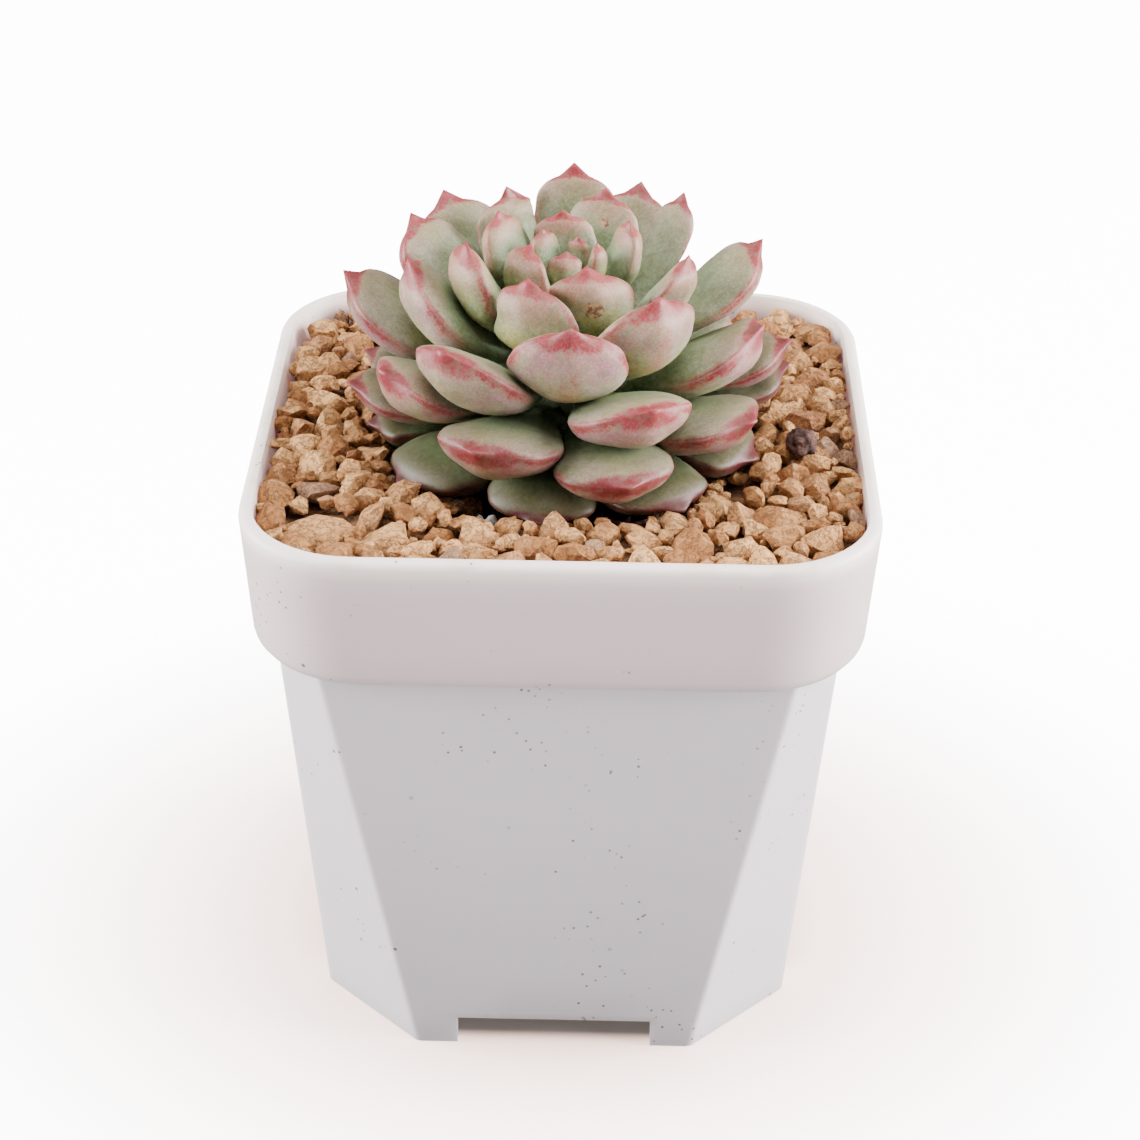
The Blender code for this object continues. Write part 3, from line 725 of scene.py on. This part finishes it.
def grain(bm, layer, centre, radius, rng, tones):
    """One broken grain: a ball cut by several flats and turned at random."""
    made = bmesh.ops.create_icosphere(bm, subdivisions=2, radius=1.0)["verts"]
    stretch = Vector((rng.uniform(0.9, 1.45), rng.uniform(0.75, 1.1), rng.uniform(0.55, 0.9)))
    cuts = []
    for _ in range(9):
        way = Vector((rng.gauss(0, 1), rng.gauss(0, 1), rng.gauss(0, 0.8))).normalized()
        cuts.append((way, rng.uniform(0.55, 0.82)))
    turn = Matrix.Rotation(rng.uniform(0, 6.28), 3, "Z") @ Matrix.Rotation(rng.gauss(0, 0.5), 3, "X")
    size = radius / (stretch.x * stretch.y) ** 0.5 * 1.12
    seat = Vector((rng.uniform(0, 99), rng.uniform(0, 99), rng.uniform(0, 99)))
    for vert in made:
        spot = vert.co.copy()
        for way, depth in cuts:
            over = spot.dot(way) - depth
            if over > 0:
                spot -= way * over
        spot *= 1 + 0.30 * noise.noise(vert.co * 2.1 + seat)
        vert.co = centre + turn @ (spot * stretch * size)
        vert[layer] = tones


def creased(bm, degrees):
    """Mark the edges between flats sharp."""
    for edge in bm.edges:
        if edge.calc_face_angle(0.0) > math.radians(degrees):
            edge.smooth = False


def clear_of_leaves():
    """A tree of every CAD leaf, for keeping grains off them."""
    bm = bmesh.new()
    for node in LEAF_NAMES:
        bm.from_mesh(NODES[node].data)
    tree = BVHTree.FromBMesh(bm)
    bm.free()
    return tree


def inside_mouth(x, y, margin):
    """True if a circle of radius margin fits inside the pot's mouth."""
    half = HALF - WALL - margin
    size = COLLAR_CORNER - WALL
    if max(abs(x), abs(y)) > half:
        return False
    corner = Vector((abs(x) - half + size, abs(y) - half + size))
    return min(corner) < 0 or corner.length < size


class Scatter:
    """Grains laid on the dressing without crowding one another."""

    def __init__(self, seed):
        self.rng = random.Random(seed)
        self.leaves = clear_of_leaves()
        bm = grown_from("gravel_top")
        self.bed = BVHTree.FromBMesh(bm)
        bm.free()
        self.cells = {}
        self.laid = []

    def bed_height(self, x, y):
        hit = self.bed.ray_cast(Vector((x, y, RIM_Z + 0.02)), Vector((0, 0, -1)))
        return hit[0].z if hit[0] is not None else SOIL_Z

    def crowded(self, x, y, radius, squeeze):
        key = (int(x // CELL), int(y // CELL))
        for across in (-2, -1, 0, 1, 2):
            for down in (-2, -1, 0, 1, 2):
                for ox, oy, other in self.cells.get((key[0] + across, key[1] + down), ()):
                    if math.hypot(ox - x, oy - y) < (radius + other) * squeeze:
                        return True
        return False

    def try_spot(self, x, y, radius, squeeze, lift):
        if not inside_mouth(x, y, radius * 0.86):
            return
        if math.hypot(x - ROSETTE_X, y) < STEM_CLEAR or self.crowded(x, y, radius, squeeze):
            return
        if any(math.hypot(x - bx, y - by) < size + radius for bx, by, size in BARE_PATCHES):
            return
        z = self.bed_height(x, y) + lift * radius
        if z + radius * 0.8 > RIM_Z - RIM_GAP:
            z = RIM_Z - RIM_GAP - radius * 0.8
        near = self.leaves.find_nearest(Vector((x, y, z)))
        if near[3] is not None and near[3] < radius * 0.85:
            return
        self.cells.setdefault((int(x // CELL), int(y // CELL)), []).append((x, y, radius))
        self.laid.append((Vector((x, y, z)), radius))

    def fill(self, tries, low, high, squeeze, lift):
        for _ in range(tries):
            radius = self.rng.uniform(low, high)
            self.try_spot(self.rng.uniform(-HALF, HALF), self.rng.uniform(-HALF, HALF),
                          radius, squeeze, lift)


class GritSettings(PropertyGroup):
    """Top dressing."""
    tries: IntProperty(name="Tries", description="How many grains are offered per size",
                       default=9000, min=100, max=50000)
    low: FloatVectorProperty(name="Low", description="Deeper clay", subtype="COLOR",
                             size=3, default=(0.34, 0.145, 0.048), min=0, max=1)
    high: FloatVectorProperty(name="High", description="Paler clay", subtype="COLOR",
                              size=3, default=(0.72, 0.385, 0.155), min=0, max=1)
    rust: FloatVectorProperty(name="Rust", description="Redder grains", subtype="COLOR",
                              size=3, default=(0.27, 0.11, 0.055), min=0, max=1)
    grey: FloatVectorProperty(name="Grey", description="Greyer grains", subtype="COLOR",
                              size=3, default=(0.22, 0.14, 0.10), min=0, max=1)
    dusty: FloatVectorProperty(name="Dusty", description="Dry dust", subtype="COLOR",
                               size=3, default=(0.74, 0.50, 0.29), min=0, max=1)


class SUCCULENT_OT_grit(Operator):
    """Lay the dressing grain by grain over its bed"""
    bl_idname = "succulent.grit"
    bl_label = "Grit"

    def execute(self, context):
        settings = context.scene.succulent_grit
        finish = grit_finish(settings)
        scatter = Scatter(21)
        rng = scatter.rng
        for x, y, radius in BIG_GRAINS:
            scatter.try_spot(x, y, radius, 0.9, 0.30)
        scatter.fill(settings.tries // 4, 0.0018, 0.0024, 0.86, 0.35)
        scatter.fill(settings.tries, 0.0013, 0.0019, 0.82, 0.55)
        scatter.fill(settings.tries, 0.0009, 0.0013, 0.78, 0.85)
        scatter.fill(settings.tries // 2, 0.0005, 0.0008, 0.75, 1.10)
        groups = [bmesh.new(), bmesh.new()]
        layers = [bm.verts.layers.float_vector.new("grain_tone") for bm in groups]
        for centre, radius in scatter.laid:
            pick = 0 if radius > 0.0013 else 1
            odd = rng.random()
            tones = (rng.uniform(0.05, 1.0), 0.9 if odd < 0.05 else 0.0,
                     rng.uniform(0.4, 1.0) if 0.05 < odd < 0.22 else 0.0)
            grain(groups[pick], layers[pick], centre, radius, rng, tones)
        for name, bm in zip(("grit_coarse", "grit_fine"), groups):
            creased(bm, 24)
            on_plant(finished_piece(name, bm, finish), "gravel")
        bed = grown_from("gravel_top")
        for vert in bed.verts:
            if vert.co.z > SOIL_Z + 0.0012:
                vert.co.z -= 0.0006
        # The bed under the grains is coloured dark brown: painted shade showing in the gaps between
        # grains.
        shaded = soil_finish("shaded_bed", (0.060, 0.028, 0.012), (0.26, 0.13, 0.060))
        on_plant(finished_piece("grit_bed", bed, shaded), "gravel", "gravel_top")
        return {"FINISHED"}


class SUCCULENT_OT_soil(Operator):
    """Finish the dark mix round the stem, with crumbs and pale specks"""
    bl_idname = "succulent.soil"
    bl_label = "Soil"

    def execute(self, context):
        dark = soil_finish("dark_mix")
        soil = NODES["potting_soil"]
        soil.data.materials.clear()
        soil.data.materials.append(dark)
        rng = random.Random(3)
        bm = bmesh.new()
        layer = bm.verts.layers.float_vector.new("grain_tone")
        for _ in range(420):
            turn = rng.uniform(0, 6.283)
            reach = rng.uniform(0.0048, 0.0188)
            radius = rng.uniform(0.0003, 0.0010)
            spot = Vector((ROSETTE_X + reach * math.cos(turn), reach * math.sin(turn),
                           SOIL_Z + radius * 0.4))
            grain(bm, layer, spot, radius, rng, (0, 0, 0))
        on_plant(finished_piece("soil_crumbs", bm, dark), "soil")
        pale = Finish("pale_fleck", Roughness=0.9)
        cloud = pale.noise(1800, 3.0)
        pale.feed("Base Color", pale.blend((0.55, 0.52, 0.48), (0.82, 0.80, 0.77), cloud))
        pale.bump(cloud, 0.5, 0.0002)
        bm = bmesh.new()
        layer = bm.verts.layers.float_vector.new("grain_tone")
        scatter = Scatter(5)
        for x, y, radius in PALE_FLECKS:
            spot = Vector((x, y, scatter.bed_height(x, y)))
            grain(bm, layer, spot, radius, rng, (0, 0, 0))
        on_plant(finished_piece("pale_flecks", bm, pale.material), "soil")
        return {"FINISHED"}


# ---------------------------------------------------------------- stem and litter

def bark_finish(name, low, high, scale):
    skin = Finish(name, Roughness=0.9, Specular_IOR_Level=0.2)
    fibres = skin.noise(scale, 5.0, 0.7)
    colour = skin.blend(low, high, fibres.ramp(0.35, 0.7))
    skin.feed("Base Color", colour)
    skin.bump(fibres, 0.9, 0.0006)
    return skin.material


class SUCCULENT_OT_litter(Operator):
    """Finish the stem, the bark flake and the dried shoot"""
    bl_idname = "succulent.litter"
    bl_label = "Stem and litter"

    def execute(self, context):
        stem = NODES["stem"]
        stem.data.materials.clear()
        woody = bark_finish("woody_stem", (0.16, 0.10, 0.06), (0.42, 0.36, 0.22), 500)
        stem.data.materials.append(woody)
        self.flake()
        self.shoot()
        return {"FINISHED"}

    def flake(self):
        """A rough flake of bark with torn edges."""
        low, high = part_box("bark_chip")
        centre = (low + high) / 2
        half = (high - low) / 2
        bm = bmesh.new()
        bmesh.ops.create_icosphere(bm, subdivisions=4, radius=1.0)
        for vert in bm.verts:
            way = vert.co.copy()
            rough = 0.86 + 0.26 * noise.noise(way * 1.6 + Vector((3, 1, 7)))
            rough += 0.16 * noise.noise(way * 4.5) + 0.08 * noise.noise(way * 11)
            spot = way * min(rough, 1.05)
            vert.co = centre + Vector((spot.x * half.x, spot.y * half.y, spot.z * half.z))
        finish = bark_finish("dark_bark", (0.018, 0.008, 0.007), (0.13, 0.065, 0.05), 700)
        on_plant(finished_piece("bark_flake", bm, finish), "bark", "bark_chip")

    def shoot(self):
        """A shrivelled purple shoot on the soil in front of the rosette."""
        skin = Finish("dried_shoot", Roughness=0.6)
        cloud = skin.noise(900, 3.0)
        purple = skin.blend((0.09, 0.02, 0.035), (0.30, 0.10, 0.13), cloud.ramp(0.3, 0.7))
        skin.feed("Base Color", purple)
        skin.bump(cloud, 0.6, 0.0003)
        bm = bmesh.new()
        rng = random.Random(4)
        foot = Vector((*SHOOT_SPOT, Scatter(5).bed_height(*SHOOT_SPOT)))
        for turn, length in TWIGS:
            angle = math.radians(turn)
            way = Vector((math.cos(angle), math.sin(angle), rng.uniform(0.1, 0.7))).normalized()
            spot = Matrix.Translation(foot + way * length / 2)
            lean = way.to_track_quat("Z", "Y").to_matrix().to_4x4()
            made = bmesh.ops.create_cone(bm, cap_ends=True, segments=10, radius1=0.0005,
                                         radius2=0.0001, depth=length, matrix=spot @ lean)["verts"]
            for vert in made:
                vert.co += noise.noise_vector(vert.co * 900) * 0.00025
        on_plant(finished_piece("dried_shoot", bm, skin.material), "bark")


# ---------------------------------------------------------------- stage

class StageSettings(PropertyGroup):
    """Floor, light and camera."""
    floor: FloatVectorProperty(name="Floor", description="Backdrop colour", subtype="COLOR",
                               size=3, default=(0.93, 0.92, 0.915), min=0, max=1)
    glow: FloatProperty(name="Glow", description="Light given off by the backdrop", default=11.0,
                        min=0, max=20)
    sky: FloatProperty(name="Sky", description="Strength of the even light", default=0.42,
                       min=0, max=5)
    key: FloatProperty(name="Key", description="Power of the overhead soft light", default=7.5,
                       min=0, max=50, unit="POWER")
    side: FloatProperty(name="Side", description="Power of each side light", default=29.0,
                        min=0, max=50, unit="POWER")
    bounce: FloatProperty(name="Bounce", description="Power of the light thrown up in front",
                          default=0.52, min=0, max=50, unit="POWER")


class SUCCULENT_OT_stage(Operator):
    """Lay the floor, hang the soft lights and stand the camera"""
    bl_idname = "succulent.stage"
    bl_label = "Stage"

    def execute(self, context):
        settings = context.scene.succulent_stage
        bm = bmesh.new()
        bmesh.ops.create_grid(bm, x_segments=2, y_segments=2, size=3.0)
        bmesh.ops.translate(bm, verts=bm.verts, vec=(0, 0, -0.00005))
        paper = Finish("backdrop_paper", Roughness=0.9, Specular_IOR_Level=0.1)
        weave = paper.noise(60, 2.0)
        spot = paper.node("ShaderNodeTexCoord", output="Object")
        flat = paper.node("ShaderNodeVectorMath", {"operation": "MULTIPLY"}, {0: spot, 1: (1, 1.1, 0)})
        reach = paper.node("ShaderNodeVectorMath", {"operation": "LENGTH"}, {0: flat}, "Value")
        # Painted shadow: the floor's glow is darker and warmer within a few centimetres of the pot,
        # fading to even white further out.
        beyond_painted_shadow = reach.ramp(0.02, 0.11)
        across, back, _ = paper.split(spot)
        # Painted shadow: the floor under the pot's foot is made dark, so the slots show shade.
        corner = across.size() + back.size() - (FOOT_HALF - FOOT_CHAMFER)
        foot = across.size().most(back.size()).most(corner)
        under_pot_painted_shadow = foot.ramp(FOOT_HALF - 0.0004, FOOT_HALF - 0.0026)
        glow = paper.blend((0.105, 0.056, 0.040), (1.0, 0.995, 0.99), beyond_painted_shadow)
        paper.feed("Emission Color", paper.blend(glow, (0.004, 0.0035, 0.003), under_pot_painted_shadow))
        pale = paper.blend(settings.floor, (0.95, 0.94, 0.935), weave)
        # Painted shadow: a warm tint on the floor colour near the pot.
        near = paper.blend((0.95, 0.73, 0.65), pale, beyond_painted_shadow)
        paper.feed("Base Color", paper.blend(near, (0.30, 0.26, 0.24), under_pot_painted_shadow))
        paper.shader.inputs["Emission Strength"].default_value = settings.glow
        floor = finished_piece("backdrop", bm, paper.material)
        floor.visible_diffuse = False
        floor.visible_glossy = False
        world = bpy.data.worlds.new("studio")
        world.use_nodes = True
        background = world.node_tree.nodes["Background"]
        background.inputs["Color"].default_value = (1.0, 0.995, 0.99, 1.0)
        background.inputs["Strength"].default_value = settings.sky
        context.scene.world = world
        self.lamp("overhead_light", (0.05, 0.05, 0.80), 0.7, settings.key)
        self.lamp("left_light", (-0.80, -0.02, 0.28), 0.7, settings.side)
        self.lamp("right_light", (0.80, -0.02, 0.28), 0.7, settings.side * 1.35)
        self.lamp("bounce_light", (0.0, -0.24, 0.002), 0.3, settings.bounce, (0.0, -0.24, 1.0))
        camera = bpy.data.cameras.new("camera")
        camera.sensor_width = 36.0
        camera.lens = CAMERA_LENS
        view = bpy.data.objects.new("camera", camera)
        context.scene.collection.objects.link(view)
        turn = Matrix.Rotation(math.radians(CAMERA_TURN), 4, "Z")
        turn = turn @ Matrix.Rotation(math.radians(CAMERA_LEAN), 4, "X")
        turn = turn @ Matrix.Rotation(math.radians(CAMERA_ROLL), 4, "Z")
        view.matrix_world = Matrix.Translation(CAMERA_SPOT) @ turn
        context.scene.camera = view
        return {"FINISHED"}

    def lamp(self, name, place, size, power, target=(0, 0, 0.06)):
        data = bpy.data.lights.new(name, "AREA")
        data.shape = "DISK"
        data.size = size
        data.energy = power
        lamp = bpy.data.objects.new(name, data)
        lamp.location = place
        lamp.visible_camera = False
        aim = Vector(target) - Vector(place)
        lamp.rotation_euler = aim.to_track_quat("-Z", "Y").to_euler()
        bpy.context.scene.collection.objects.link(lamp)


# ---------------------------------------------------------------- add-on

OPERATORS = (SUCCULENT_OT_pot, SUCCULENT_OT_soil, SUCCULENT_OT_grit, SUCCULENT_OT_litter,
             SUCCULENT_OT_leaves, SUCCULENT_OT_stage)
GROUPS = {"succulent_pot": PotSettings, "succulent_grit": GritSettings,
          "succulent_skin": SkinSettings, "succulent_stage": StageSettings}


class SUCCULENT_PT_parts(Panel):
    """Pieces of the potted succulent"""
    bl_idname = "SUCCULENT_PT_parts"
    bl_label = "Potted Succulent"
    bl_space_type = "VIEW_3D"
    bl_region_type = "UI"
    bl_category = "Succulent"

    def draw(self, context):
        for name, group in GROUPS.items():
            box = self.layout.box()
            for key in group.__annotations__:
                box.prop(getattr(context.scene, name), key)
        for operator in OPERATORS:
            self.layout.operator(operator.bl_idname)


def register():
    for item in (*GROUPS.values(), *OPERATORS, SUCCULENT_PT_parts):
        bpy.utils.register_class(item)
    for name, group in GROUPS.items():
        setattr(bpy.types.Scene, name, PointerProperty(type=group))


def unregister():
    for name in GROUPS:
        delattr(bpy.types.Scene, name)
    for item in reversed((*GROUPS.values(), *OPERATORS, SUCCULENT_PT_parts)):
        bpy.utils.unregister_class(item)


def main():
    register()
    for operator in OPERATORS:
        group, name = operator.bl_idname.split(".")
        getattr(getattr(bpy.ops, group), name)()


if __name__ == "__main__":
    main()
